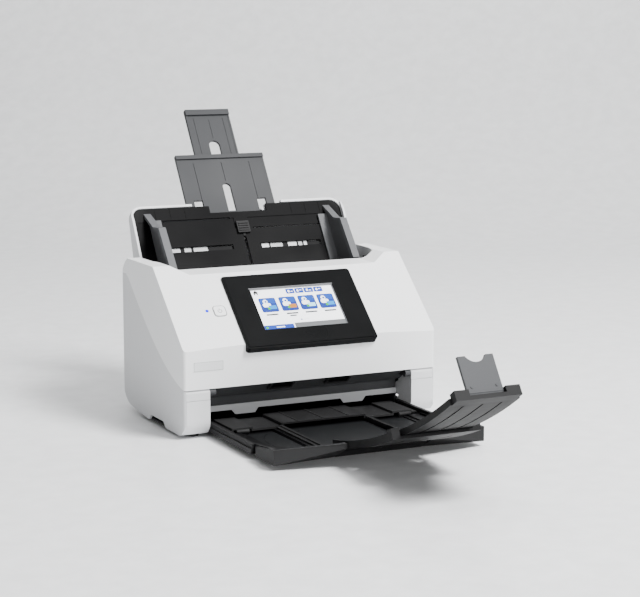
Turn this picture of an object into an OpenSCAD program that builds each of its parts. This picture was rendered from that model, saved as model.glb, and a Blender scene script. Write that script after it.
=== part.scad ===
// Sheet fed document scanner: a desktop scanner with a slanted touch panel, a leaning input tray
// with telescoping paper support and edge guides, and a drawer-like output tray with a curved
// two-stage extension and a stopper. Millimetres. +X is the user's right, +Y the back, +Z up.
// The origin is on the desk, in the middle of the width and of the depth as drawn, pulled out.

/* [Body] */
// Overall width of the body
body_w = 296; // [294:1:298]
// Depth of the body at its sides
body_d = 182; // [181:0.5:183]
// Height of the front cover's lower edge above the desk
cover_z = 52.5; // [52:0.5:53]
// Wall thickness of the plastic shells
wall = 2.5; // [2.2:0.1:2.8]
// Slope of the control panel above the horizontal, in degrees
slant = 42.6; // [42:0.1:43]

/* [Control panel] */
// Width of the panel's dark bezel
bezel_w = 153; // [148:1:156]
// Length of the bezel along the slope
bezel_l = 98; // [94:1:99]
// Width of the visible screen
screen_w = 97.5; // [95:0.5:99]
// Length of the visible screen along the slope
screen_l = 55; // [53:0.5:57]

/* [Input tray] */
// Lean of the input tray above the horizontal, in degrees
tray_lean = 57; // [56.5:0.1:57.5]
// Half width of the input tray's white shell
tray_half = 132; // [131:0.5:132.5]
// Distance from the middle to each edge guide's inner face, when fully open
guide_half = 108.5; // [105:0.5:110]
// Travel of each edge guide towards the middle
guide_travel = 83; // [60:1:84]
// Travel of the lower paper support
support_travel = 55; // [40:1:55]

/* [Output tray] */
// Half width of the output tray
drawer_half = 118; // [117:0.25:118.2]
// Distance that the output tray stands out in front of the body
drawer_out = 145; // [144:0.5:146]
// Radius of the arc that the curved extension follows
arc_r = 520; // [518:1:522]

/* [Hidden] */

eps = 0.01;
half_w = body_w / 2;
gap = 0.3;
side_in = half_w - wall;          // inner face of the side walls
column_in = 119;                  // inner face of the front columns
column_out = side_in - 0.2;       // outer face of the front columns
rear_in = body_d - wall;          // inner face of the rear wall
base_z = 3;                       // lowest edge of the white shell
deck_z = 27;                      // underside of the deck over the output tray
cap_z = 41.2;                     // joint between the columns and the hinge caps
seam_gap = 0.45;                  // width of that joint
hinge = [4.3, 48.2];              // cover hinge axis, y and z
hinge_r = 4;
pin_r = 2;
shaft_r = 3;
run = 0.05;                       // running clearance of a shaft in its bore
opening_half = 133;               // half width of the paper opening between the ears
opening_y = 113;                  // front edge of the paper opening
top_z = 161.6;                    // height of the cover's top in the middle
ear_z = 171;                      // height of the ears

// ---------------------------------------------------------------- helpers
function arc(c, r, a0, a1, n) =
    [for (i = [0:n]) c + r * [cos(a0 + (a1 - a0) * i / n), sin(a0 + (a1 - a0) * i / n)]];
function off(p, a, d) = p + d * [-sin(a), cos(a)];
function seam(y) = min(153.5, cover_z + 0.17 * y + 0.0038 * y * y - 0.0000065 * y * y * y);

// A polygon given in y and z, extruded along x
module yz(pts, x0, x1) {
    translate([x0, 0, 0]) rotate([90, 0, 90]) linear_extrude(x1 - x0) polygon(pts);
}
// A polygon given in x and z, extruded along y
module xz(pts, y0, y1) {
    translate([0, y1, 0]) rotate([90, 0, 0]) linear_extrude(y1 - y0) polygon(pts);
}
// A box from its lowest to its highest corner
module block(a, b) { translate(a) cube(b - a); }
// A round bar along x at y, z
module bar(y, z, r, x0, x1, fn = 48) {
    translate([x0, y, z]) rotate([0, 90, 0]) cylinder(r = r, h = x1 - x0, $fn = fn);
}
// The design is drawn from the cover's lower front edge; this moves it to the middle of its depth
origin_y = -31.28;
module placed() { translate([0, -origin_y, 0]) children(); }
// Both sides of the middle plane
module both() {
    children();
    mirror([1, 0, 0]) children();
}
// A flat rounded rectangle, centred, built from true arcs
module rounded(w, l, r, h) {
    block([-w / 2 + r, -l / 2, 0], [w / 2 - r, l / 2, h]);
    block([-w / 2, -l / 2 + r, 0], [w / 2, l / 2 - r, h]);
    for (sx = [-1, 1], sy = [-1, 1])
        translate([sx * (w / 2 - r), sy * (l / 2 - r), 0]) cylinder(r = r, h = h, $fn = 48);
}

// ---------------------------------------------------------------- body outline
crease_r = 18;
slant_ref = [36, 126];            // a point on the slanted face, y and z
crease_z = slant_ref[1] - slant_ref[0] * tan(slant) - crease_r * tan((90 - slant) / 2);
brow_r = 22;
brow_y = slant_ref[0] + (ear_z - slant_ref[1]) / tan(slant) + brow_r * tan(slant / 2);
rear_r = 30;
foot_r = 30;
toe_r = 16;
arch_z = 9;

// Side outline of the closed body, inset by d, y and z
function outline_top(d) = concat(
    arc([crease_r, crease_z], crease_r - d, 180, 90 + slant, 10),
    arc([brow_y, ear_z - brow_r], brow_r - d, 90 + slant, 90, 8),
    arc([body_d - rear_r, ear_z - rear_r], rear_r - d, 90, 0, 12));
outline = concat([[0, cover_z]], outline_top(0),
    arc([body_d - foot_r, 7 + foot_r], foot_r, 0, -75, 8),
    [[125, 4.5], [102, base_z], [96, arch_z], [60, arch_z], [53, base_z]],
    arc([toe_r, base_z + toe_r], toe_r, -90, -180, 8));
inset_outline = concat([[wall, 0]], outline_top(wall), [[rear_in, 0]]);

module below_seam(lift = 0) {
    yz(concat([[-5, -5], [-5, cover_z + lift]],
        [for (y = [0:8:200]) [y, seam(y) + lift]], [[200, -5]]), -half_w - 1, half_w + 1);
}
module above_seam() {
    yz(concat([[-5, 250], [-5, cover_z]],
        [for (y = [0:8:200]) [y, seam(y)]], [[200, 250]]), -half_w - 1, half_w + 1);
}
// Rounded plan of the body: small radius at the front, larger at the back
module plan(front_r = 3.5, back_r = 5.5) {
    translate([0, 0, -1]) linear_extrude(300) polygon(concat(
        arc([half_w - front_r, front_r], front_r, -90, 0, 6),
        arc([half_w - back_r, body_d - back_r], back_r, 0, 90, 6),
        arc([-half_w + back_r, body_d - back_r], back_r, 90, 180, 6),
        arc([-half_w + front_r, front_r], front_r, 180, 270, 6)));
}

// ---------------------------------------------------------------- paper path
path = [[35.6, 39.7], [60, 58], [96, 90], [140, 131], [148.3, 140.2], [156.2, 152.4]];
path_a = [36.9, 39.3, 42.3, 45.5, 52, 57];   // slope at each point of the path
pick_nip = [104, 97.5];
feed_nip = [86, 81.1];
exit_nip = [46, 47.5];
scan_at = [68, 65.1];
scan_a = 41.6;
pickup_r = 12;
feed_r = 10;
exit_r = 9;
idler_r = 6;
nip_gap = 0.25;
frame_off = 1.7;                  // height of the upper frame over the lower one
pickup_c = off(pick_nip, 43, -pickup_r - nip_gap);
separation_c = off(pick_nip, 43, pickup_r + nip_gap);
feed_c = off(feed_nip, scan_a, -feed_r - nip_gap);
feed_idler_c = off(feed_nip, scan_a, idler_r + nip_gap);
exit_c = off(exit_nip, 36.9, -exit_r - nip_gap);
exit_idler_c = off(exit_nip, 36.9, idler_r + nip_gap);
motor_c = [150, 60];
tyre_xs = [-84, -30, 30, 84];     // middles of the driven tyres
tyre_w = 14;

module on_path(p, a) { translate([0, p[0], p[1]]) rotate([a, 0, 0]) children(); }

// ---------------------------------------------------------------- tray and panel placement
panel_o = [31.9, slant_ref[1] - (slant_ref[0] - 31.9) * tan(slant)];
bezel_x = -2.25;                  // middle of the bezel
screen_x = -2.8;                  // middle of the screen
screen_u = 1.2;
proud = 4.5;                      // height of the bezel above the slanted face
crown = 3.2;                      // rise of the slanted face in the middle of its width
crown_r = (half_w * half_w + crown * crown) / (2 * crown);
button_at = [-93, 4.9, 1.95];     // power button on the slanted face
lamp_at = [-106.7, 6.6, 0];       // status lamp
module on_panel() { translate([0, panel_o[0], panel_o[1]]) rotate([slant, 0, 0]) children(); }

tray_o = [161, 160.6];
tray_top = 73.5;                  // top of the tray along its lean
module on_tray() { translate([0, tray_o[0], tray_o[1]]) rotate([tray_lean, 0, 0]) children(); }
rack_u = 47;                      // height of the guide pinion along the tray
pinion_r = 6;
pinion_teeth = 12;
tooth = 2 * PI * pinion_r / pinion_teeth;

// Half plan of the paper opening between the ears
opening_side = [[111, opening_y], [113, 106], [118, 103.5], [127, 108], [132.3, 126],
    [opening_half, 156], [opening_half, 220]];
module opening(d = 0) {
    half = [for (p = opening_side) [p[0] + d, p[1] - d]];
    back = [for (i = [len(half) - 1:-1:0]) [-half[i][0], half[i][1]]];
    polygon(concat(half, back));
}

// ---------------------------------------------------------------- base
module base_shell() color("gainsboro") placed() {
    difference() {
        intersection() {
            difference() {
                yz(outline, -half_w, half_w);
                yz(inset_outline, -side_in, side_in);
            }
            plan();
            below_seam();
        }
        block([-side_in, -1, 0], [side_in, 10, 90]);
        block([-60.6, 170, 138], [60.6, 190, 160]);
        // openings for the sockets
        block([-46.2, 175, 33.4], [-34.8, 190, 46.8]);
        block([-12.4, 175, 34.2], [0.4, 190, 46.4]);
        block([19.6, 175, 34.2], [36.4, 190, 48.9]);
        // ventilation slots
        for (i = [-6:6]) block([70 + i * 4, 175, 62], [72 + i * 4, 190, 92]);
        // room for the lean of the input tray
        on_tray() block([-132.3, -12, -17.8], [132.3, 30, 10]);
        // room for the cover's lower corners as it opens
        yz([[-1, 50.2], [0, 50.4], [4.5, 53.5], [-1, 53.5]], -half_w - 1, half_w + 1);
        // security lock slot, 7 by 3
        block([side_in - 1, 159.5, 25], [half_w + 1, 162.5, 32]);
    }
    // inner ledges that carry the deck
    both() block([140, 31, 23], [side_in + 0.5, 170, 26.9]);
    // top ledges below the ears
    both() block([134, 168, 149], [side_in + 0.5, rear_in + 0.5, 151.5]);
}

module front_columns() color("gainsboro") placed() both() {
    difference() {
        intersection() {
            yz(outline, column_in, column_out);
            block([column_in, 0, base_z], [column_out, 30, cap_z - seam_gap]);
        }
        block([column_in + wall, 11, 9], [column_out - wall, 31, cap_z - wall]);
    }
    // light inner cheek beside the exit slot
    yz([[20, 20], [37.2, 18.2], [37.2, 31], [20, 40]], column_in, column_in + 1.2);
}

module hinge_caps() color("gainsboro") placed() both() difference() {
    union() {
        yz(concat([[0.3, cap_z]], arc(hinge, hinge_r, 180, 90, 8), [[26, 52.2], [30, 48], [30, cap_z]]),
            column_in, column_out);
        block([column_in + 0.9, 1.3, cap_z - seam_gap], [column_out - 0.9, 29, cap_z + 1]);
    }
    bar(hinge[0], hinge[1], pin_r + 0.01, column_in - 1, column_out - 4);
    block([column_in + 12, 10, cap_z - 1], [column_out - wall, 31, 48]);
}

module exit_sill() color("lightgray") placed() {
    block([-118.6, 33.8, 20], [118.6, 37.4, 26]);
    block([-118.6, 36, 23], [118.6, 41, 26.98]);
    both() xz([[48.6, 21], [81, 21], [76, 14.9], [53, 14.9]], 33.8, 35.8);
}

module base_pan() color("#26272a") placed() {
    // floor under the tray bay, with its rear end wall
    difference() {
        block([-121, 20, base_z], [121, 174, 5]);
        for (x = [-90:36:90]) block([x - 9, 60, base_z - 1], [x + 9, 64, 6]);
        both() block([118.7, 19, base_z - 1], [122, 30.3, 6]);
    }
    block([-121, 172, 4], [121, 174, 26.9]);
    block([-121, 172, 25], [121, rear_in, 26.9]);
    // wings on both sides
    both() difference() {
        yz([[31, base_z], [52, base_z], [103, base_z], [125, 4.6], [159, 8.1], [171, 14.4],
            [178, 24.6], [178, 26.9], [174, 26.9], [168, 16.8], [157, 10.2], [124, 6.7], [103, 5.2],
            [31, 5]], 121, side_in);
        for (y = [44, 150]) translate([132, y, 0]) cylinder(r = 1.6, h = 30, $fn = 32);
    }
}

module rubber_feet() color("#1c1c1e") placed() {
    for (sx = [-1, 1], y = [24, 114]) translate([sx * 131, y, 0]) {
        cylinder(r = 8, h = base_z, $fn = 64);
    }
}

module chassis_deck() color("silver") placed() {
    difference() {
        union() {
            block([-column_in, 37.6, 27], [column_in, 176, 29]);
            both() block([column_in - 1, 37.6, 27], [145.2, 176, 29]);
        }
        for (sx = [-1, 1], y = [44, 150]) translate([sx * 132, y, 20]) cylinder(r = 1.5, h = 20, $fn = 32);
        block([-100, 60, 26], [-60, 100, 30]);
        block([60, 60, 26], [100, 100, 30]);
    }
    both() block([118.9, 38, 5.3], [120.6, 171.8, 27.5]);
    // screw bosses
    both() for (y = [44, 150]) translate([132, y, 12]) difference() {
        cylinder(r = 4, h = 15.5, $fn = 48);
        translate([0, 0, -1]) cylinder(r = 1.5, h = 20, $fn = 32);
    }
    // standoffs for the main board
    for (x = [-52, 100], y = [112, 158]) translate([x, y, 28]) cylinder(r = 3, h = 5, $fn = 40);
}

module base_screws() color("#77797c") placed() for (sx = [-1, 1], y = [44, 150])
    translate([sx * 132, y, 0]) {
        translate([0, 0, y > 100 ? 4.6 : 0.95]) cylinder(r = 3, h = 2, $fn = 40);
        translate([0, 0, y > 100 ? 5.6 : 2.2]) cylinder(r = 1.5, h = 20, $fn = 32);
    }

module side_frames() color("#8c8f93") placed() both() {
    difference() {
        yz([[33, 29], [170, 29], [170, 132], [158, 132], [140, 124], [120, 106], [97, 84.5], [60, 52],
            [33, 33]], 120.5, 123);
        bar(pickup_c[0], pickup_c[1], 5.01, 119, 125);
        bar(feed_c[0], feed_c[1], 5.01, 119, 125);
        bar(exit_c[0], exit_c[1], 5.01, 119, 125);
        bar(motor_c[0], motor_c[1], 5.5, 119, 125);
        bar(135, 85, 12, 119, 125);
        bar(70, 42, 6, 119, 125);
    }
    block([120.5, 33, 29], [138, 170, 30.5]);
}

module shaft_bushes() color("#b58a3c") placed() both()
    for (c = [pickup_c, feed_c, exit_c]) difference() {
        bar(c[0], c[1], 5, 119.4, 123.8);
        bar(c[0], c[1], shaft_r + run, 119, 125);
    }

module lower_windows() {
    on_path(pick_nip, 43) block([-20, -10, -9], [20, 10, 4]);
    for (x = tyre_xs) {
        on_path(feed_nip, scan_a) block([x - 8.5, -9, -7], [x + 8.5, 9, 4]);
        on_path(exit_nip, 36.9) block([x - 8.5, -8, -7], [x + 8.5, 8, 4]);
    }
    on_path(scan_at, scan_a) block([-108.2, -9.2, -5], [108.2, 9.2, 4]);
}

module path_frame() color("#2b2c2f") placed() difference() {
    union() {
        yz(concat(path, [for (i = [5:-1:0]) off(path[i], path_a[i], -2.6)]), -118, 118);
        // ribs that stand on the deck
        both() for (x = [56, 110]) yz([[38, 29.02], [150, 29.02], [150, 34], [118, 60], [138, 125],
            [119, 107], [96, 88.5], [60, 56], [38, 39.5]], x, x + 2.4);
        both() yz([[100, 29.02], [150, 29.02], [150, 60], [157, 146], [138, 127], [119, 107]], 115.6, 118);
        // front wall below the exit
        yz([[35.2, 26.05], [37.2, 29.02], [37.2, 40], [36, 39.4], [35.2, 38.6]], -118, 118);
    }
    lower_windows();
    on_path(scan_at, scan_a) block([-108.2, -9.2, -17.5], [108.2, 9.2, 0]);
    for (c = [pickup_c, feed_c, exit_c]) bar(c[0], c[1], 4.5, -119, 119);
    bar(exit_c[0], exit_c[1], 5, -119, 119);
    // clearance for the motor and the main board
    block([-119.9, 122, 30.5], [119.9, 151, 82]);
    bar(motor_c[0], motor_c[1], 18.5, -119, -81, 64);
    block([-60, 104, 31], [114, 151, 60]);
}

module lower_scan_glass() color("#9fb4bd") placed() on_path(scan_at, scan_a)
    block([-108, -9, -2], [108, 9, -0.1]);

module lower_sensor_bar() color("#303236") placed() on_path(scan_at, scan_a)
    block([-108, -8.5, -16.5], [108, 8.5, -2]);

module main_board() color("#1f5a3a") placed() {
    block([-60, 106, 33], [106, 164, 34.6]);
    block([20, 120, 34.6], [44, 144, 36.6]);
    block([56, 120, 34.6], [70, 134, 36.2]);
}

module usb_socket() color("#c6c9cc") placed() difference() {
    block([-12, 160, 34.6], [0, 181.6, 45.8]);
    difference() {
        block([-10.2, 168, 36.4], [-1.8, 182, 44.2]);
        block([-8.6, 168, 39.1], [-3.4, 180, 42.3]);
    }
}

module lan_socket() color("#b9bcc0") placed() difference() {
    block([20, 160, 34.6], [36, 181.6, 48.4]);
    block([22.2, 168, 37], [33.8, 182, 43.6]);
    block([25, 168, 43.5], [31, 182, 46.6]);
}

module dc_inlet() color("#1c1c1e") placed() {
    difference() {
        block([-46, 164.2, 33.7], [-35, 181.4, 46.5]);
        translate([-40.5, 190, 40]) rotate([90, 0, 0]) cylinder(r = 3.1, h = 20, $fn = 48);
    }
    translate([-40.5, 180, 40]) rotate([90, 0, 0]) cylinder(r = 1, h = 11, $fn = 32);
}

module drive_motor() color("#5d6064") placed() difference() {
    union() {
        bar(motor_c[0], motor_c[1], 18, -117.8, -82, 72);
        bar(motor_c[0], motor_c[1], 5.4, -123, -117, 48);
        block([-120.4, 128, 54], [-117.4, 172, 66]);
    }
    bar(motor_c[0], motor_c[1], 1.6, -124, -90, 32);
}

belt_w = 3;
belt_xs = [-128.5, -132.5, -136.5];
module belt(a, ra, b, rb, x) {
    difference() {
        hull() {
            bar(a[0], a[1], ra + 1.2, x, x + belt_w, 32);
            bar(b[0], b[1], rb + 1.2, x, x + belt_w, 32);
        }
        hull() {
            bar(a[0], a[1], ra + 0.25, x - 1, x + belt_w + 1, 32);
            bar(b[0], b[1], rb + 0.25, x - 1, x + belt_w + 1, 32);
        }
    }
}
module drive_belts() color("#1a1a1a") placed() {
    belt(motor_c, 6, feed_c, 8, belt_xs[0]);
    belt(feed_c, 8, pickup_c, 8, belt_xs[1]);
    belt(feed_c, 8, exit_c, 8, belt_xs[2]);
}

module hinge_pins() color("silver") placed() both() bar(hinge[0], hinge[1], pin_r, 113.6, 140);

module latch_strikers() color("silver") placed() both() {
    yz([[96, 84], [112, 99], [112, 104], [106.5, 107], [106.5, 118], [99, 118], [99, 104], [96, 92]],
        123, 125.5);
    block([125.5, 99, 114], [130, 106.5, 118]);
}

// ---------------------------------------------------------------- input tray
module tray_side() {
    yz([[-10, -17.5], [19, -17.5], [60, -5.5], [73.5, -4.2], [73.5, 0.6], [68, 3.8], [54, 5],
        [8, 1.8], [-10, 1.8]], tray_half - 2.5, tray_half);
}
// Rounded plan of the tray's upper end, inset by d, from v0 to v1
module tray_plan(d, v0, v1) {
    translate([0, 0, v0]) linear_extrude(v1 - v0) polygon(concat(
        arc([tray_half - 15, tray_top - 15], 15 - d, 0, 90, 10),
        arc([15 - tray_half, tray_top - 15], 15 - d, 90, 180, 10),
        [[d - tray_half, -30], [tray_half - d, -30]]));
}
// Cut-out in the tray's upper edge that shows the paper support
module support_window() {
    block([-35, 61.5, -14], [35, 80, 5]);
    block([-55.5, 70.4, -14], [55.5, 80, 5]);
}
// Where bars of uneven width stand behind the plate's windows: start and width
window_bars = [[-92, 11], [-76, 8], [-65, 17], [19, 9], [30, 15], [52, 11], [65, 5], [72, 4], [79, 9]];
module tray_shell() color("gainsboro") placed() on_tray() difference() {
    intersection() {
        union() {
            both() tray_side();
            // rear wall, deeper behind the racks
            yz([[-10, -17.5], [19, -17.5], [57.5, -10.1], [61, -8.6], [73.5, -4.2], [73.5, -1.8],
                [59, -6.4], [56.5, -7.6], [19.5, -15], [-10, -15]], -124, 124);
            both() yz([[-10, -17.5], [19, -17.5], [60, -5.5], [73.5, -4.2], [73.5, -1.8], [60, -3.1],
                [19.5, -15], [-10, -15]], 121.5, tray_half);
            both() yz([[19, -17.5], [57.5, -10.1], [61, -8.6], [73.5, -4.2], [73.5, -1.8], [60, -3.1],
                [19.5, -15]], 121.5, 124);
            // rim around the plate
            difference() {
                tray_plan(0, -4.2, 0.8);
                tray_plan(2.6, -5, 2);
                block([-150, -40, -6], [150, -10, 3]);
            }
            // bars and tube behind the windows
            for (w = window_bars) block([w[0], 12.6, -16], [w[0] + w[1], 22.6, -2.4]);
            both() bar(17.6, -7, 4, 16, 94);
        }
        tray_plan(0, -40, 40);
    }
    block([-60.3, -9, -40], [60.3, 80, -11.3]);
    block([-60.3, 57, -12], [60.3, 80, -8.6]);
    support_window();
}

// Housing of the paper support on the tray's back
module tray_rear_cover() color("gainsboro") placed() on_tray() difference() {
    block([-60, -8, -25.5], [60, 73.5, -11.6]);
    block([-55.5, -5.6, -23.2], [55.5, 80, -13.7]);
    support_window();
}

module tray_plate() color("#3c3e42") placed() on_tray() difference() {
    translate([0, 0, -2]) linear_extrude(2) polygon(concat(
        arc([129.3 - 12, 70.3 - 12], 12, 0, 90, 10), arc([12 - 129.3, 70.3 - 12], 12, 90, 180, 10),
        [[-129.3, 4], [-128, -9], [128, -9], [129.3, 4]]));
    both() block([17, 14.4, -5], [93, 20.6, 5]);
    // recessed track and slot of the edge guides
    both() block([8.5, 40, -0.7], [124, 54, 1]);
    block([-guide_half - 0.5, 53.1, -5], [guide_travel - 96, 54.7, 5]);
    block([96 - guide_travel, 39.8, -5], [guide_half + 0.5, 41.4, 5]);
    // groove of the separation lever
    block([-1.6, -5.5, -5], [1.6, 39.5, 5]);
    support_window();
    // fine marks along the top
    for (x = [66, 84, 102]) both() block([x - 0.3, 56, -0.35], [x + 0.3, 69, 1]);
}

module separation_lever() color("#151618") placed() on_tray() {
    block([-7.5, 34, 0.3], [7.5, 48.3, 3]);
    for (i = [0:3]) block([-6, 36 + i * 3, 2.9], [6, 37.2 + i * 3, 3.9]);
    block([-1.3, 30.5, -2.8], [1.3, 35, 0.5]);
    block([-4, 27, -4.6], [4, 36.6, -2.4]);
}

module guide_pinion() color("#9a9da1") placed() on_tray() translate([0, rack_u, 0]) {
    difference() {
        union() {
            translate([0, 0, -6.4]) cylinder(r = 4.9, h = 3.2, $fn = 48);
            for (i = [0:pinion_teeth - 1]) rotate([0, 0, (i + 0.5) * 360 / pinion_teeth])
                block([4, -0.5, -6.4], [6.7, 0.5, -3.2]);
        }
        translate([0, 0, -7]) cylinder(r = 1.5, h = 10, $fn = 32);
    }
}

// Left edge guide in tray coordinates; the right one is its mirror image apart from the rack
guide_x = -guide_half - 3;
module guide_body() {
    // upright fin, thicker along its front and top edges
    yz([[64, 0.4], [38.6, 18.5], [30.4, 33], [-22.8, 38.8], [-22, 33], [-18.5, 0.4]], guide_x, guide_x + 3);
    yz([[33, 26], [30.4, 33], [-22.8, 38.8], [-22.2, 32]], guide_x - 4, guide_x + 4.2);
    yz([[64, 0.4], [38.6, 18.5], [30.4, 33], [27, 31], [35.8, 16.5], [58, 0.4]], guide_x - 4, guide_x + 4.2);
    // base plate
    block([guide_x, -16, 0.3], [guide_x + 14, 52, 2.3]);
}
// Rack of a guide, with the stem that joins it to the base plate; s is 1 above the pinion, -1 below
module guide_rack(s) {
    pitch_u = rack_u + s * pinion_r;
    u0 = pitch_u + s * 2.15;
    stem_u = s > 0 ? 53.9 : 40.6;
    block([guide_x + 4, u0 - 1.25, -6.2], [8, u0 + 1.25, -3.3]);
    block([guide_x + 4, min(u0 - 1.25, stem_u - 0.5), -6.2],
        [guide_x + 14, max(u0 + 1.25, stem_u + 0.5), -2.6]);
    block([guide_x + 4, stem_u - 0.5, -3], [guide_x + 14, stem_u + 0.5, 2.3]);
    block([guide_x, 51, 0.3], [guide_x + 14, stem_u + 0.5, 2.3]);
    for (i = [ceil((guide_x + 15) / tooth):2]) translate([i * tooth, 0, 0])
        block([-0.5, min(pitch_u - 0.8 * s, u0), -6.2], [0.5, max(pitch_u - 0.8 * s, u0), -3.3]);
}
module edge_guide_left() color("#2e3033") placed() on_tray() {
    guide_body();
    guide_rack(1);
}
module edge_guide_right() color("#2e3033") placed() on_tray() mirror([1, 0, 0]) {
    guide_body();
    guide_rack(-1);
}

module support_lower() color("#7b7e82") placed() on_tray() difference() {
    union() {
        block([-55, 107 - support_travel, -17.4], [55, 143.5, -14]);
        block([-55, 138.5, -15], [55, 143.5, -12.2]);
        both() block([52.2, 76, -14.4], [55, 139, -13.9]);
        // runners for the upper stage
        both() yz([[60, -17], [138.5, -17], [138.5, -22.8], [60, -22.8]], 28.1, 30);
        both() yz([[60, -22.3], [138.5, -22.3], [138.5, -23], [60, -23]], 25.5, 30);
    }
    // finger slot with a round top, and notches at the lower corners
    block([-5, 70, -18], [5, 101, -13]);
    translate([0, 101, -18]) cylinder(r = 5, h = 5, $fn = 48);
    both() block([34, 70, -18], [45, 85, -13]);
    // grooves
    both() block([34.4, 85, -14.6], [35.6, 133, -13]);
    block([-0.6, 109, -14.6], [0.6, 133, -13]);
}

module support_upper() color("#737679") placed() on_tray() difference() {
    union() {
        block([-27.6, 118, -21.9], [27.6, 206, -18.6]);
        block([-27.6, 199, -21.9], [27.6, 206, -16.2]);
        both() block([25.4, 146, -19], [27.6, 200, -18.1]);
    }
    block([-6.7, 143, -23], [6.7, 158.3, -18]);
    translate([0, 158.3, -23]) cylinder(r = 6.7, h = 5, $fn = 48);
    for (x = [-19, 18]) block([x - 0.6, 146, -19.1], [x + 0.6, 195, -18]);
    block([-0.6, 168, -19.1], [0.6, 193, -18]);
}

// ---------------------------------------------------------------- cover
module recess(d = 0) {
    xz([[-111, top_z - d], [111, top_z - d], [131, 172 - d], [131, 190], [-131, 190], [-131, 172 - d]],
        20, 200);
}
module cover_profile(d) yz(concat([[d, cover_z - 20 * d]], outline_top(d),
    [[body_d - d, cover_z - 20 * d]]), d - half_w, half_w - d);
// The closed cover's body, inset by d, with the crown of its slanted face
module cover_solid(d) difference() {
    union() {
        cover_profile(d);
        intersection() {
            translate([0, -crown * sin(slant), crown * cos(slant)]) cover_profile(d);
            on_panel() translate([0, -200, crown - crown_r]) rotate([-90, 0, 0])
                cylinder(r = crown_r - d, h = 400, $fn = 1440);
            block([d - half_w, d, cover_z - 20 * d], [half_w - d, body_d - d, ear_z - d]);
        }
    }
    recess(d);
}
module cover_shell() color("whitesmoke") placed() {
    difference() {
        intersection() {
            difference() {
                cover_solid(0);
                cover_solid(wall);
            }
            plan();
            above_seam();
        }
        translate([0, 0, 100]) linear_extrude(100) opening();
        // display opening, button hole and lamp hole
        on_panel() translate([screen_x, screen_u, -5]) block([-56, -33, 0], [56, 33, 10]);
        on_panel() translate(button_at - [0, 0, 5]) rounded(13, 13, 3.2, 10);
        on_panel() translate(lamp_at - [0, 0, 5]) cylinder(r = 1.3, h = 10, $fn = 40);
        // clear of the base's top ledges and rear wall
        block([-opening_half, 160, 90], [opening_half, 200, 200]);
        block([-150, 165, 90], [150, 200, 153.5]);
    }
    // inner walls of the ears
    intersection() {
        cover_solid(0.5);
        above_seam();
        translate([0, 0, 154]) linear_extrude(60) difference() {
            opening(2);
            opening();
            translate([-opening_side[0][0] - 3, 90]) square([2 * opening_side[0][0] + 6, 40]);
        }
        block([-150, 60, 150], [150, 181, 200]);
    }
    // screw posts for the inner frame
    intersection() {
        both() for (y = [20, 52]) translate([92, y, 86]) difference() {
            cylinder(r = 4, h = 60, $fn = 40);
            translate([0, 0, -1]) cylinder(r = 1.5, h = 12, $fn = 32);
        }
        cover_solid(1);
    }
}

fascia_from = [3.2, 53];
function fascia_at(t, h) = fascia_from + t * [0.8457, -0.5337] + h * [-0.5337, -0.8457];
upper = [for (i = [0:5]) off(path[i], path_a[i], frame_off)];
module cover_frame() color("#232427") placed() difference() {
    union() {
        // upper paper guide
        yz([off([29, 34.7], 37, frame_off), upper[1], off([106, 99.3], 43, frame_off),
            off([104, 97.5], 43, 4.4), off(path[1], path_a[1], 4.4), off([29, 34.7], 37, 4.4)], -114, 114);
        // fascia above the output slot
        yz([fascia_from, [6, 53], [29, 40.2], fascia_at(28.8, 0)], -118.6, 118.6);
        // front wall of the paper opening
        yz([[112.4, 158.6], [109.6, 126], [105.6, 101.5], [103, 102.5], [106.6, 127], [109.4, 158.6]],
            -110, 110);
        // ribs
        both() yz([[8, 54], [29, 41], [60, 63], [104, 102], [108, 128], [96, 128], [74, 120], [30, 86],
            [8, 70]], 56, 58.2);
        both() yz([[8, 54], [29, 41], [60, 63], [104, 102], [108, 128], [110, 150], [98, 150],
            [74, 120], [30, 86], [8, 70]], 112, 115);
        both() block([88, 14, 84], [112.5, 58, 86]);
        // hinge lugs
        both() difference() {
            union() {
                bar(hinge[0], hinge[1], 4, 112, 118.7);
                yz([[3.2, 50], [5.6, 46], [20, 44], [24, 58], [6, 70], [3.2, 60]], 112, 118.7);
            }
        }
        // separation roller cheeks
        both() on_path(pick_nip, 43) block([20.6, -7, 2], [23.2, 7, 19]);
    }
    for (p = [feed_idler_c, exit_idler_c]) bar(p[0], p[1], 2.55, -113.5, 113.5);
    bar(separation_c[0], separation_c[1], 3.05, -30, 30);
    bar(103, 140, 2.6, -120, 120);
    both() bar(hinge[0], hinge[1], pin_r + run, 113.4, 120);
    on_path(pick_nip, 43) block([-19.6, -14, 0], [19.6, 14, 30]);
    for (x = tyre_xs) {
        on_path(feed_nip, scan_a) block([x - 8.5, -8, 0], [x + 8.5, 8, 6]);
        on_path(exit_nip, 36.9) block([x - 8.5, -8, 0], [x + 8.5, 8, 6]);
    }
    on_path(scan_at, scan_a) block([-108.2, -9.2, 0], [108.2, 9.2, 18.4]);
    both() for (p = [[20, 0], [52, 0]]) translate([92, p[0], 80]) cylinder(r = 1.6, h = 10, $fn = 32);
}

module cover_screws() color("#77797c") placed() both() for (y = [20, 52]) translate([92, y, 0]) {
    translate([0, 0, 82]) cylinder(r = 3, h = 1.99, $fn = 40);
    translate([0, 0, 83]) cylinder(r = 1.5, h = 13, $fn = 32);
}

module hold_tabs() color("#17181a") placed() both() {
    yz([fascia_at(3.6, 0), fascia_at(14.5, 0), fascia_at(14.5, 1.6), fascia_at(3.6, 1.6)], 19.5, 47.5);
    for (x = [19.5, 45]) yz([fascia_at(3.2, 0), fascia_at(15.5, 0), fascia_at(15, 2.6),
        fascia_at(3.8, 2.6)], x, x + 2.5);
    yz([fascia_at(13, 1.5), fascia_at(15, 1.5), fascia_at(15, 3), fascia_at(13.4, 3)], 19.5, 47.5);
}

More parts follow.
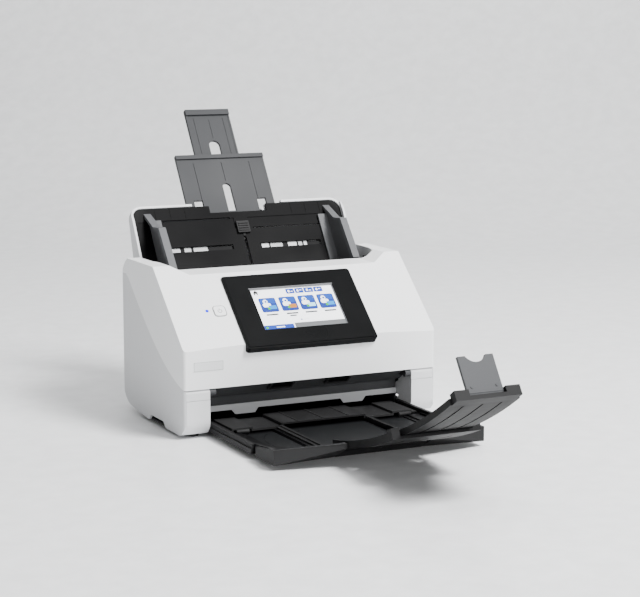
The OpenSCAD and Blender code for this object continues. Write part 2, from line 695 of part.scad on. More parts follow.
module upper_scan_glass() color("#9fb4bd") placed() on_path(scan_at, scan_a)
    block([-108, -9, 1.8], [108, 9, 3.7]);

module upper_sensor_bar() color("#303236") placed() on_path(scan_at, scan_a)
    block([-108, -8.5, 3.7], [108, 8.5, 18]);

module separation_core() color("#8f9296") placed() {
    bar(separation_c[0], separation_c[1], 3, -27, 27);
    bar(separation_c[0], separation_c[1], 9, -18, 18, 64);
}
module separation_tyre() color("#3a3d42") placed() difference() {
    bar(separation_c[0], separation_c[1], 12, -17.5, 17.5, 72);
    bar(separation_c[0], separation_c[1], 9, -19, 19, 64);
}

module idler_set(c) {
    bar(c[0], c[1], 2.5, -112.8, 112.8, 40);
    for (x = tyre_xs) bar(c[0], c[1], idler_r, x - 7, x + 7, 56);
}
module feed_idlers() color("#d8dade") placed() idler_set(feed_idler_c);
module exit_idlers() color("#d8dade") placed() idler_set(exit_idler_c);

module driven(c, x0, x1) { bar(c[0], c[1], shaft_r, x0, x1); }
module pulley(c, r, x) {
    bar(c[0], c[1], r, x, x + belt_w, 56);
}
module tyre(c, r, x) difference() {
    bar(c[0], c[1], r, x - tyre_w / 2, x + tyre_w / 2, 72);
    bar(c[0], c[1], 5, x - 20, x + 20, 48);
}
module pickup_shaft() color("#a9acb0") placed() {
    driven(pickup_c, -135, 126);
    bar(pickup_c[0], pickup_c[1], 8.5, -17.5, 17.5, 56);
    pulley(pickup_c, 8, belt_xs[1]);
}
module pickup_tyre() color("#4a4d52") placed() difference() {
    bar(pickup_c[0], pickup_c[1], pickup_r, -17.5, 17.5, 72);
    bar(pickup_c[0], pickup_c[1], 8.5, -19, 19, 56);
}
module feed_shaft() color("#a9acb0") placed() {
    driven(feed_c, -138, 126);
    for (x = tyre_xs) bar(feed_c[0], feed_c[1], 5, x - 7, x + 7, 48);
    for (x = belt_xs) pulley(feed_c, 8, x);
}
module feed_tyres() color("#4a4d52") placed() for (x = tyre_xs) tyre(feed_c, feed_r, x);
module exit_shaft() color("#a9acb0") placed() {
    driven(exit_c, -138, 126);
    for (x = tyre_xs) bar(exit_c[0], exit_c[1], 5, x - 7, x + 7, 48);
    pulley(exit_c, 8, belt_xs[2]);
}
module exit_tyres() color("#4a4d52") placed() for (x = tyre_xs) tyre(exit_c, exit_r, x);
module motor_pulley() color("#c9a45c") placed() {
    bar(motor_c[0], motor_c[1], 1.5, -126, -92, 32);
    bar(motor_c[0], motor_c[1], 6, belt_xs[0], belt_xs[0] + belt_w, 48);
}

module latch_bar() color("#101113") placed() {
    bar(103, 140, 2.5, -128, 128);
    // lever at the right ear
    yz([[101, 142], [105, 141], [116.4, 159], [115.4, 164.4], [112.4, 164.4], [112.8, 160]], 118.8, 123.4);
    // hooks
    both() yz([[101, 139], [105, 138], [110.5, 119], [110.5, 111], [106.9, 111], [106.9, 113.6],
        [107.9, 114.4], [107.9, 119]], 126.2, 129);
}

module panel_bezel() color("#4a4c50") placed() difference() {
    on_panel() translate([bezel_x, 0, -3]) {
        rounded(bezel_w, bezel_l, 3.6, 3 + proud - 0.6);
        rounded(bezel_w - 4.6, bezel_l - 4.6, 2, 3 + proud);
    }
    translate([0, -0.04 * sin(slant), 0.04 * cos(slant)]) cover_solid(0);
    on_panel() translate([screen_x, screen_u, 0]) {
        block([-screen_w / 2, -screen_l / 2, -1], [screen_w / 2, screen_l / 2, 9]);
        block([-screen_w / 2 - 3, -screen_l / 2 - 3, -1], [screen_w / 2 + 3, screen_l / 2 + 3, 3.1]);
    }
}
module touch_glass() color("#dfe6ea") placed() on_panel() translate([screen_x, screen_u, 1.9])
    block([-screen_w / 2 - 2.8, -screen_l / 2 - 2.8, 0], [screen_w / 2 + 2.8, screen_l / 2 + 2.8, 1.2]);
module lcd_module() color("#5c6066") placed() on_panel() translate([screen_x, screen_u, -3.4])
    block([-51.4, -30.2, 0], [51.4, 30.2, 5.2]);
module panel_board() color("#1f5a3a") placed() on_panel() translate([screen_x, screen_u, -5]) {
    block([-54, -31, 0], [54, 31, 1.6]);
    block([-20, -8, -2.2], [10, 8, 0]);
}

module power_button() color("#e9eaec") placed() on_panel() translate(button_at) {
    translate([0, 0, -3.4]) rounded(12.5, 12.5, 3, 4.1);
    translate([0, 0, -4.4]) rounded(15, 15, 3, 1.2);
}
module status_led() color("#4aa3ff") placed() on_panel() translate(lamp_at - [0, 0, 1.5])
    cylinder(r = 1.2, h = 3.4, $fn = 40);
module label_plate() color("#c9cbcd") placed() block([-137, -0.35, 71.5], [-104, 0, 81.5]);

// ---------------------------------------------------------------- output tray
channel_u = [-81.4, 49.6];        // middle and radius of the channel's rounded front wall
module output_tray() color("#26272a") placed() {
    difference() {
        union() {
            // floor
            block([-112.6, 4 - drawer_out, 5.3], [112.6, -1, 7.2]);
            // stepped sides of the arm's channel
            both() xz([[48.8, 7], [48.8, 12.6], [51.8, 12.6], [51.8, 11.2], [55.6, 11.2], [55.6, 9.6],
                [59.6, 9.6], [60.6, 7]], -139, -26);
            // stepped side rails, with a gap before the corner blocks
            both() block([110.2, -100, 5.3], [drawer_half, 24, 10.4]);
            both() block([112.6, -100, 9.4], [116.6, 24, 15]);
            both() block([106, -26, 5.3], [111, 24, 11.8]);
            both() yz([[-150, 5.3], [-111, 5.3], [-111, 15], [-143, 19.4], [-150, 20.4]], 113.4, drawer_half);
            // inner rims that rise towards the lip
            both() yz([[-144, 5.3], [-34, 5.3], [-34, 11.5], [-60, 12.6], [-90, 14.4], [-120, 17],
                [-144, 19.6]], 110.2, 113.6);
            // platforms in two steps around the rounded pockets
            for (step = [[37, 8.6], [41.5, 10]]) both() difference() {
                block([50, -141, 7], [111, -30, step[1]]);
                translate([0, 0, 6]) linear_extrude(6) polygon(concat(
                    [[40, -20], [56 + step[0], -20], [56 + step[0], -75]],
                    arc([56, -75], step[0], 0, -90, 12), [[40, -75 - step[0]]]));
            }
            // flared lip corners
            both() hull() {
                block([116.5, -153.6, 5.3], [drawer_half, -141, 20.6]);
                block([48.2, -173.4, 19.6], [49.5, -166.6, 24.4]);
                block([48.2, -146, 5.3], [49.5, -141, 13]);
            }
            // ramp under the curved arm, and its front edge
            yz([[-147, 5.3], [-76, 5.3], [-76, 12], [-147, 16], [-161, 18], [-161, 14]], -48.4, 48.4);
        }
        // hollow behind the lip corners
        both() hull() {
            block([113.2, -151, 9], [114, -136, 30]);
            block([50.8, -167, 22.6], [51.6, -136, 34]);
            block([50.8, -143, 9], [51.6, -136, 12]);
        }
        bar(arm_c[0], arm_c[1], arc_r + 0.45, -48.5, 48.5, 1440);
        translate([0, channel_u[0], 7.2]) cylinder(r = channel_u[1], h = 30, $fn = 120);
        block([-48.8, -81, 7.2], [48.8, 0, 30]);
    }
    // curved lines on the channel's floor
    for (x = [-26, 10]) translate([x, -78, 7]) intersection() {
        difference() {
            cylinder(r = 62, h = 0.5, $fn = 120);
            translate([0, 0, -1]) cylinder(r = 61, h = 3, $fn = 120);
        }
        block([-61.5, -34, -1], [-20, 46, 2]);
    }
    // hinge knuckles of the top plate
    both() bar(-27.9, 10.6, 2.4, 88, 102, 40);
    both() block([88, -29, 7], [102, -26.6, 10.6]);
}

module tray_top_plate() color("#2f3033") placed() {
    block([-49.3, -25, 12.9], [49.3, 24, 14.5]);
    both() block([48, -25, 9.6], [82.6, 24, 11.5]);
    both() block([47.7, -25, 9.6], [49.3, 24, 14.5]);
    both() block([82, -25, 12.2], [105.6, 24, 14]);
    both() block([82, -25, 9.6], [83.6, 24, 14]);
    both() block([104, -25, 9.6], [105.6, 24, 14]);
    // raised bars of the channel's pivots
    for (x = [-30, 0, 30]) block([x - 0.8, -22, 14.4], [x + 0.8, 24, 15.1]);
}

arm_c = [-64.5, 527.6];
module arm(r0, r1, a0, a1, x0, x1) {
    n = max(1, round(a1 - a0));
    yz(concat([for (i = [0:n]) arm_at(r1, a0 + (a1 - a0) * i / n)],
        [for (i = [n:-1:0]) arm_at(r0, a0 + (a1 - a0) * i / n)]), x0, x1);
}
function arm_at(r, a) = arm_c + r * [-sin(a), -cos(a)];

module extension_lower() color("#2b2c2f") placed() {
    difference() {
        arm(arc_r - 3, arc_r, 8.4, 22.4, -45, 45);
        for (x = [-26, 0, 26]) arm(arc_r - 0.7, arc_r + 1, 10.4, 20.4, x - 1, x + 1);
        both() arm(arc_r - 5, arc_r + 1, 13.6, 14.4, 33, 39);
    }
    both() arm(arc_r - 8, arc_r, 8.4, 22.4, 44.8, 47.6);
    // end frame
    both() arm(arc_r - 11, arc_r, 21.4, 22.4, 39, 47.6);
}
module extension_upper() color("#393a3e") placed() {
    r = arc_r - 3.4;
    difference() {
        union() {
            arm(r - 2.8, r, 20.1, 34.1, -34, 34);
            both() arm(r - 6.2, r, 20.1, 33.1, 33.8, 36);
            // end lip
            difference() {
                arm(r - 10, r, 33.1, 34.1, -34, 34);
                arm(r - 10.4, r - 4, 33, 34.4, -19, 19);
            }
        }
        for (x = [-20, 0, 20]) arm(r - 0.7, r + 1, 22.6, 32.4, x - 1, x + 1);
        bar(stop_at[0], stop_at[1], 1.05, -25, 25);
    }
}
stop_at = arm_at(arc_r - 11, 33.5);
module stopper() color("#55575b") placed() translate([0, stop_at[0], stop_at[1]]) rotate([-33.5, 0, 0]) {
    difference() {
        union() {
            block([-18.5, -1.6, -2], [18.5, 1.6, 35.4]);
            bar(0, 0, 2, -18.5, 18.5, 40);
            bar(0, 0, 1, -20.4, 20.4, 32);
        }
        // concave notch in the top edge
        translate([0, 5, 41]) rotate([90, 0, 0]) cylinder(r = 12, h = 10, $fn = 64);
    }
    both() block([12, -2.2, 4], [14, -1.4, 6]);
}

base_shell();
front_columns();
hinge_caps();
exit_sill();
base_pan();
rubber_feet();
chassis_deck();
side_frames();
shaft_bushes();
path_frame();
lower_scan_glass();
lower_sensor_bar();
main_board();
usb_socket();
lan_socket();
dc_inlet();
drive_motor();
drive_belts();
hinge_pins();
latch_strikers();
base_screws();
tray_shell();
tray_rear_cover();
tray_plate();
cover_shell();
cover_frame();
hold_tabs();
panel_bezel();
touch_glass();
lcd_module();
panel_board();
status_led();
label_plate();
upper_scan_glass();
upper_sensor_bar();
cover_screws();
power_button();
latch_bar();
separation_core();
separation_tyre();
feed_idlers();
exit_idlers();
pickup_shaft();
pickup_tyre();
feed_shaft();
feed_tyres();
exit_shaft();
exit_tyres();
motor_pulley();
support_lower();
support_upper();
edge_guide_left();
edge_guide_right();
guide_pinion();
separation_lever();
output_tray();
tray_top_plate();
extension_lower();
extension_upper();
stopper();
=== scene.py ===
import bpy, bmesh, math
from mathutils import Vector, Matrix


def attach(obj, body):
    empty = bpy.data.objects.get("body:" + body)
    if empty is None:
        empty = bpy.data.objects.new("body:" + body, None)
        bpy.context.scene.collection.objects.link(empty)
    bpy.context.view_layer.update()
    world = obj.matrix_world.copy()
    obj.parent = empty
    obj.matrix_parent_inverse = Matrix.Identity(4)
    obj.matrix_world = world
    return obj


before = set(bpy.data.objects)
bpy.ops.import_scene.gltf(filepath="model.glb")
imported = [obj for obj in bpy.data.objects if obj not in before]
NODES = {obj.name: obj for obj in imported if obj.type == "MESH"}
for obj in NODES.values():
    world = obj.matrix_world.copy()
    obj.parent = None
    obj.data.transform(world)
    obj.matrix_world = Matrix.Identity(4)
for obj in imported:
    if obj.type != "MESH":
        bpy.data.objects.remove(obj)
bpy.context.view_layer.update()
MM = 0.001
SHIFT = 0.03128     # from the cover's lower front edge to the middle of the depth
CAMERA_YAW = 26.33  # degrees, also the turn of the backdrop


# ------------------------------------------------------------------ camera
def make_camera():
    data = bpy.data.cameras.new("camera")
    data.lens = 100.94
    data.sensor_width = 36.0
    data.clip_start = 0.05
    data.clip_end = 50.0
    cam = bpy.data.objects.new("camera", data)
    bpy.context.scene.collection.objects.link(cam)
    yaw, pitch = math.radians(CAMERA_YAW), math.radians(8.906)
    look = Vector((math.sin(yaw) * math.cos(pitch), math.cos(yaw) * math.cos(pitch),
                   -math.sin(pitch)))
    cam.location = (-0.8231, -1.6785 + SHIFT, 0.4317)
    cam.rotation_euler = look.to_track_quat("-Z", "Y").to_euler()
    bpy.context.scene.camera = cam


# ------------------------------------------------------------------ materials
def lin(v):
    """A screen value from 0 to 255 as linear light."""
    v = v / 255.0
    return v / 12.92 if v <= 0.04045 else ((v + 0.055) / 1.055) ** 2.4


def rgb(r, g, b):
    return (lin(r), lin(g), lin(b), 1.0)


def new_material(name):
    m = bpy.data.materials.new(name)
    m.use_nodes = True
    nt = m.node_tree
    bsdf = nt.nodes["Principled BSDF"]
    return m, nt, bsdf


def node(nt, kind, **values):
    n = nt.nodes.new(kind)
    for k, v in values.items():
        if hasattr(n, k):
            setattr(n, k, v)
        else:
            n.inputs[k].default_value = v
    return n


def mix_colour(nt, fac, a, b, blend="MIX"):
    n = nt.nodes.new("ShaderNodeMix")
    n.data_type = "RGBA"
    n.blend_type = blend
    for i, v in ((0, fac), (6, a), (7, b)):
        if hasattr(v, "is_output"):
            nt.links.new(v, n.inputs[i])
        else:
            n.inputs[i].default_value = v
    return n.outputs[2]


def ramp(nt, fac, stops):
    n = nt.nodes.new("ShaderNodeValToRGB")
    el = n.color_ramp.elements
    while len(el) < len(stops):
        el.new(0.5)
    for e, (p, c) in zip(el, stops):
        e.position = p
        e.color = c if len(c) == 4 else (*c, 1.0)
    nt.links.new(fac, n.inputs[0])
    return n.outputs[0]


def plastic(name, colour, rough=0.45, grain=900.0, bump=0.06, vary=0.06, rough_vary=0.08,
            metallic=0.0, coat=0.0, edge=0.0, spec=0.5, stretch=None):
    """Moulded plastic: a fine spark-eroded grain, slow colour drift, patchy gloss, and a painted
    highlight that lightens convex edges.
    """
    m, nt, b = new_material(name)
    tc = node(nt, "ShaderNodeTexCoord")
    vec = tc.outputs["Object"]
    if stretch:
        mp = node(nt, "ShaderNodeMapping")
        mp.inputs["Scale"].default_value = stretch
        nt.links.new(vec, mp.inputs["Vector"])
        fine_vec = mp.outputs[0]
    else:
        fine_vec = vec
    fine = node(nt, "ShaderNodeTexNoise", Scale=grain, Detail=3.0, Roughness=0.6)
    nt.links.new(fine_vec, fine.inputs["Vector"])
    slow = node(nt, "ShaderNodeTexNoise", Scale=14.0, Detail=2.0)
    nt.links.new(vec, slow.inputs["Vector"])
    lo = tuple(c * (1 - vary) for c in colour[:3])
    hi = tuple(min(1.0, c * (1 + vary)) for c in colour[:3])
    col = ramp(nt, slow.outputs["Fac"], [(0.3, lo), (0.7, hi)])
    speck = ramp(nt, fine.outputs["Fac"], [(0.35, (0.93, 0.93, 0.93)), (0.65, (1.0, 1.0, 1.0))])
    col = mix_colour(nt, 1.0, col, speck, "MULTIPLY")
    # painted highlight: convex edges (high pointiness) take a paler colour, standing in for light
    # caught along the edges; edge sets its strength
    if edge:
        geo = node(nt, "ShaderNodeNewGeometry")
        edge_highlight_mask = ramp(nt, geo.outputs["Pointiness"], [(0.53, (0, 0, 0)), (0.62, (1, 1, 1))])
        scaled = mix_colour(nt, edge, (0, 0, 0, 1), edge_highlight_mask)
        highlight_colour = tuple(min(1.0, c * 1.6 + 0.03) for c in colour[:3]) + (1.0,)
        col = mix_colour(nt, scaled, col, highlight_colour)
    nt.links.new(col, b.inputs["Base Color"])
    r = node(nt, "ShaderNodeMapRange")
    r.inputs["To Min"].default_value = max(0.03, rough - rough_vary)
    r.inputs["To Max"].default_value = min(1.0, rough + rough_vary)
    nt.links.new(slow.outputs["Fac"], r.inputs["Value"])
    nt.links.new(r.outputs[0], b.inputs["Roughness"])
    bp = node(nt, "ShaderNodeBump", Strength=bump, Distance=0.00012)
    nt.links.new(fine.outputs["Fac"], bp.inputs["Height"])
    nt.links.new(bp.outputs[0], b.inputs["Normal"])
    b.inputs["Metallic"].default_value = metallic
    b.inputs["Coat Weight"].default_value = coat
    b.inputs["Specular IOR Level"].default_value = spec
    return m


def metal(name, colour, rough=0.3, stretch=(4.0, 400.0, 400.0)):
    """Drawn or brushed metal: long streaks along one direction."""
    return plastic(name, colour, rough=rough, grain=3.0, bump=0.25, vary=0.1, rough_vary=0.1,
                   metallic=1.0, stretch=stretch)


def glow(name, colour, strength):
    """A lit surface with a fine pixel grid."""
    m, nt, b = new_material(name)
    tc = node(nt, "ShaderNodeTexCoord")
    n = node(nt, "ShaderNodeTexNoise", Scale=700.0, Detail=1.0)
    nt.links.new(tc.outputs["Object"], n.inputs["Vector"])
    lo = tuple(c * 0.93 for c in colour[:3])
    col = ramp(nt, n.outputs["Fac"], [(0.3, lo), (0.7, colour[:3])])
    nt.links.new(col, b.inputs["Emission Color"])
    b.inputs["Emission Strength"].default_value = strength
    nt.links.new(col, b.inputs["Base Color"])
    b.inputs["Roughness"].default_value = 0.25
    return m


def glass(name, tint):
    """Clear glass with slightly uneven gloss."""
    m, nt, b = new_material(name)
    tc = node(nt, "ShaderNodeTexCoord")
    n = node(nt, "ShaderNodeTexNoise", Scale=30.0, Detail=3.0)
    nt.links.new(tc.outputs["Object"], n.inputs["Vector"])
    r = node(nt, "ShaderNodeMapRange")
    r.inputs["To Min"].default_value = 0.03
    r.inputs["To Max"].default_value = 0.09
    nt.links.new(n.outputs["Fac"], r.inputs["Value"])
    nt.links.new(r.outputs[0], b.inputs["Roughness"])
    col = ramp(nt, n.outputs["Fac"], [(0.3, tuple(c * 0.97 for c in tint[:3])), (0.7, tint[:3])])
    nt.links.new(col, b.inputs["Base Color"])
    b.inputs["Transmission Weight"].default_value = 0.85
    return m


M = {
    "white": plastic("white_shell", rgb(212, 213, 215), rough=0.5, grain=1400, bump=0.05,
                     vary=0.015),
    "front": plastic("white_cover", rgb(240, 241, 242), rough=0.46, grain=1400, bump=0.05,
                     vary=0.012),
    "sill": plastic("sill_grey", rgb(190, 192, 194), rough=0.5, grain=1400, vary=0.02),
    "black": plastic("black_textured", rgb(9, 9, 10), spec=0.06, rough=0.5, grain=1100, bump=0.16,
                     vary=0.12, edge=0.5),
    # painted fill light: the black frames under the cover are lightened to dark grey so they read in
    # its shadow
    "dark": plastic("black_frame_painted_fill", rgb(62, 63, 65), spec=0.2, rough=0.45, grain=1100, bump=0.14,
                    vary=0.1),
    "tray": plastic("tray_black", rgb(12, 12, 13), spec=0.04, rough=0.42, grain=1100, bump=0.12,
                    vary=0.12, edge=0.6),
    "arm": plastic("arm_grey", rgb(7, 7, 8), spec=0.05, rough=0.4, grain=1100, bump=0.1,
                   vary=0.08, edge=0.4),
    "plate": plastic("plate_charcoal", rgb(5, 5, 6), spec=0.04, rough=0.5, grain=1100, bump=0.14,
                     vary=0.06, edge=0.3),
    "guide": plastic("guide_charcoal", rgb(78, 79, 81), spec=0.12, rough=0.45, grain=1100, bump=0.12,
                     vary=0.08, edge=0.35),
    "support": plastic("support_grey", rgb(50, 51, 53), spec=0.12, rough=0.48, grain=1100, bump=0.1,
                       vary=0.05),
    "stopper": plastic("stopper_grey", rgb(66, 67, 69), spec=0.12, rough=0.48, grain=1100, bump=0.1,
                       vary=0.05),
    "bezel": plastic("bezel_brushed", rgb(6, 7, 8), spec=0.07, rough=0.3, grain=4.0, bump=0.3,
                     vary=0.12, stretch=(1.0, 320.0, 320.0)),
    "rubber": plastic("foot_rubber", rgb(26, 26, 27), rough=0.85, grain=600, bump=0.3, vary=0.12),
    "roller": plastic("roller_rubber", rgb(58, 60, 64), rough=0.75, grain=500, bump=0.35, vary=0.12,
                      stretch=(1.0, 60.0, 60.0)),
    "steel": metal("ground_steel", rgb(190, 191, 194), rough=0.28),
    "zinc": metal("zinc_sheet", rgb(165, 167, 170), rough=0.42, stretch=(60.0, 6.0, 60.0)),
    "brass": metal("turned_brass", rgb(196, 158, 92), rough=0.3),
    "bronze": plastic("sintered_bronze", rgb(150, 116, 70), rough=0.5, grain=700, bump=0.3,
                      metallic=1.0),
    "board": plastic("solder_mask", rgb(22, 88, 56), rough=0.3, grain=260, bump=0.4, vary=0.25,
                     coat=0.3),
    "idler": plastic("acetal_white", rgb(214, 215, 218), rough=0.3, grain=800, vary=0.03),
    "scan": glass("scan_glass", rgb(210, 226, 230)),
    "screen": glow("screen_white", rgb(250, 252, 255), 0.95),
    "lamp": glow("status_blue", rgb(0, 14, 225), 0.8),
    "label": plastic("blank_label", rgb(222, 224, 225), rough=0.35, grain=2000, vary=0.02),
    "rim": plastic("screen_rim", rgb(120, 122, 125), rough=0.3, grain=1500, vary=0.05),
    "tray_floor": plastic("tray_floor", rgb(24, 25, 26), spec=0.06, rough=0.4, grain=1600, bump=0.08,
                          vary=0.08),
    "ink": glow("ui_ink", rgb(8, 9, 12), 0.3),
    "ink_soft": glow("ui_ink_soft", rgb(60, 62, 68), 0.3),
    "paper": glow("ui_paper", rgb(246, 249, 252), 0.9),
    "key_blue": glow("ui_key_blue", rgb(0, 52, 150), 0.45),
    "tile_blue": glow("ui_tile_blue", rgb(0, 44, 132), 0.45),
    "tile_light": glow("ui_tile_light", rgb(0, 66, 158), 0.45),
    "cyan": glow("ui_cyan", rgb(0, 130, 200), 0.6),
    "pale_cyan": glow("ui_pale_cyan", rgb(160, 216, 236), 0.9),
    "tan": glow("ui_tan", rgb(176, 110, 30), 0.5),
    "leaf": glow("ui_leaf", rgb(50, 160, 20), 0.6),
    "shade_black": plastic("window_shade", rgb(14, 14, 15), spec=0.1, rough=0.6, grain=900),
    "roller_dull": plastic("window_roller", rgb(120, 122, 124), rough=0.35, grain=3.0, bump=0.3,
                           vary=0.25, stretch=(240.0, 1.0, 1.0)),
    # painted highlight: grey of the bar that stands in for the lit upper edge of the screen's opening
    "lip": plastic("recess_lip_highlight", rgb(96, 97, 99), rough=0.3, grain=1500, vary=0.05),
    "halo": glow("lamp_halo", rgb(40, 70, 220), 0.35),
    # painted shade of the gap around the power button; the label's printed border borrows this grey
    "seam": plastic("button_seam_shade", rgb(92, 93, 96), rough=0.5, grain=1500, vary=0.05),
    "foot_grey": glow("ui_foot_grey", rgb(96, 98, 100), 0.45),
    "bar_grey": glow("ui_bar_grey", rgb(196, 200, 206), 0.9),
}
NODE_LOOK = {
    "base_shell": "white", "front_columns": "white", "hinge_caps": "white", "tray_shell": "white",
    "tray_rear_cover": "white",
    "cover_shell": "front", "power_button": "front", "exit_sill": "sill",
    "base_pan": "black", "path_frame": "dark", "cover_frame": "dark", "hold_tabs": "black",
    "drive_belts": "rubber", "latch_bar": "black", "dc_inlet": "black", "separation_lever": "black",
    "output_tray": "tray", "tray_top_plate": "tray", "extension_lower": "arm",
    "extension_upper": "arm", "stopper": "stopper", "lower_sensor_bar": "black",
    "upper_sensor_bar": "black", "tray_plate": "plate", "edge_guide_left": "guide",
    "edge_guide_right": "guide", "support_lower": "support", "support_upper": "support",
    "panel_bezel": "bezel", "rubber_feet": "rubber", "pickup_tyre": "roller", "feed_tyres": "roller",
    "exit_tyres": "roller", "separation_tyre": "roller", "hinge_pins": "steel",
    "pickup_shaft": "steel", "feed_shaft": "steel", "exit_shaft": "steel", "usb_socket": "steel",
    "lan_socket": "steel", "latch_strikers": "steel", "chassis_deck": "zinc", "side_frames": "zinc",
    "drive_motor": "zinc", "base_screws": "zinc", "cover_screws": "zinc", "lcd_module": "zinc",
    "separation_core": "idler", "motor_pulley": "brass", "shaft_bushes": "bronze",
    "guide_pinion": "bronze", "lower_scan_glass": "scan", "upper_scan_glass": "scan",
    "touch_glass": "screen", "main_board": "board", "panel_board": "board", "feed_idlers": "idler",
    "exit_idlers": "idler", "status_led": "lamp", "label_plate": "label",
}
# edge radii in millimetres
SOFT_EDGES = {
    "cover_shell": 0.9, "base_shell": 0.7, "front_columns": 0.6, "hinge_caps": 0.5, "tray_shell": 0.5,
    "tray_rear_cover": 0.7, "panel_bezel": 0.35, "edge_guide_left": 0.45, "edge_guide_right": 0.45,
    "output_tray": 0.35, "tray_top_plate": 0.35, "support_lower": 0.4, "support_upper": 0.4,
    "extension_lower": 0.4, "extension_upper": 0.4, "stopper": 0.4, "power_button": 0.4,
    "exit_sill": 0.5, "separation_lever": 0.3, "hold_tabs": 0.3, "tray_plate": 0.25, "base_pan": 0.5,
    "rubber_feet": 0.5,
}


def soften(obj, width):
    """Shades the tessellated curves smoothly and gives the moulded edges a fine radius."""
    for p in obj.data.polygons:
        p.use_smooth = True
    obj.data.set_sharp_from_angle(angle=math.radians(28))
    if width:
        m = obj.modifiers.new("bevel", "BEVEL")
        m.width = width * MM
        m.segments = 2
        m.limit_method = "ANGLE"
        m.angle_limit = math.radians(38)
        m.use_clamp_overlap = True
        w = obj.modifiers.new("weighted", "WEIGHTED_NORMAL")
        w.keep_sharp = True


def dress_nodes():
    for name, obj in NODES.items():
        obj.data.materials.clear()
        obj.data.materials.append(M[NODE_LOOK[name]])
        soften(obj, SOFT_EDGES.get(name, 0.0))


# ------------------------------------------------------------------ pieces
SLANT = math.radians(42.6)
PANEL_Y, PANEL_Z = 31.9, 126 - 4.1 * math.tan(SLANT)
CROWN_TOP, CROWN_RADIUS = 3.2, 3424.1
SCREEN_X, SCREEN_U, SCREEN_W, SCREEN_L = -2.8, 1.2, 97.5, 55.0
GLASS_V, BEZEL_V = 3.1, 4.5
GAP, LAYER = 0.004, 0.02    # air under a printed shape, and the thickness of one


def at(x, y, z):
    """A point of the design, in millimetres from the cover's lower front edge, in metres."""
    return Vector((x * MM, y * MM + SHIFT, z * MM))


def on_panel(x, u, v):
    return at(x, PANEL_Y + u * math.cos(SLANT) - v * math.sin(SLANT),
              PANEL_Z + u * math.sin(SLANT) + v * math.cos(SLANT))


def on_crown(x, u, h):
    """A point h above the cover's slanted face, which is crowned across its width."""
    return on_panel(x, u, CROWN_TOP - x * x / (2 * CROWN_RADIUS) + h)


def on_screen(s, t):
    """Screen position, left to right and top to bottom from 0 to 1, as x and u."""
    return SCREEN_X + (s - 0.5) * SCREEN_W, SCREEN_U + (0.5 - t) * SCREEN_L


def make_piece(name, body, look, build):
    bm = bmesh.new()
    build(bm)
    bmesh.ops.recalc_face_normals(bm, faces=bm.faces)
    me = bpy.data.meshes.new(name)
    bm.to_mesh(me)
    bm.free()
    obj = bpy.data.objects.new(name, me)
    bpy.context.scene.collection.objects.link(obj)
    me.materials.append(M[look])
    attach(obj, body)


def prism(bm, points, lower, upper, place):
    """An extruded outline; place turns x, u and height into a point."""
    lo = [bm.verts.new(place(x, u, lower)) for x, u in points]
    hi = [bm.verts.new(place(x, u, upper)) for x, u in points]
    bm.faces.new(hi)
    bm.faces.new(lo[::-1])
    for i in range(len(points)):
        j = (i + 1) % len(points)
        bm.faces.new((lo[i], lo[j], hi[j], hi[i]))


def round_box(cx, cu, w, l, r, n=5):
    """The outline of a rectangle with corners of radius r, n steps to a corner."""
    out = []
    for qx, qu, a in ((1, 1, 0), (-1, 1, 90), (-1, -1, 180), (1, -1, 270)):
        for i in range(n + 1):
            t = math.radians(a + 90 * i / n)
            out.append((cx + qx * (w / 2 - r) + r * math.cos(t),
                        cu + qu * (l / 2 - r) + r * math.sin(t)))
    return out


def arc(cx, cu, r, degrees):
    return [(cx + r * math.cos(math.radians(a)), cu + r * math.sin(math.radians(a)))
            for a in degrees]


def disc(cx, cu, r, n=24):
    return arc(cx, cu, r, [360 * i / n for i in range(n)])


def ring(bm, cx, cu, r0, r1, a0, a1, lower, upper, place, n=28):
    """A flat band between two radii, from a0 to a1 degrees."""
    angles = [a0 + (a1 - a0) * i / n for i in range(n + 1)]
    outline = arc(cx, cu, r1, angles) + arc(cx, cu, r0, angles[::-1])
    prism(bm, outline, lower, upper, place)


def screen_box(s0, t0, s1, t1, r):
    x0, u0 = on_screen(s0, t0)
    x1, u1 = on_screen(s1, t1)
    return round_box((x0 + x1) / 2, (u0 + u1) / 2, abs(x1 - x0), abs(u0 - u1), r)


def screen_piece(name, look, shapes, level):
    """Flat shapes of the lit picture, each level a little above the one below."""
    top = GLASS_V + GAP + LAYER * level

    def build(bm):
        for points in shapes:
            prism(bm, points, top - LAYER, top, on_panel)
    make_piece(name, "cover", look, build)


# left edges of the four tiles, as shares of the screen's width
TILES = (0.06, 0.30, 0.531, 0.764)


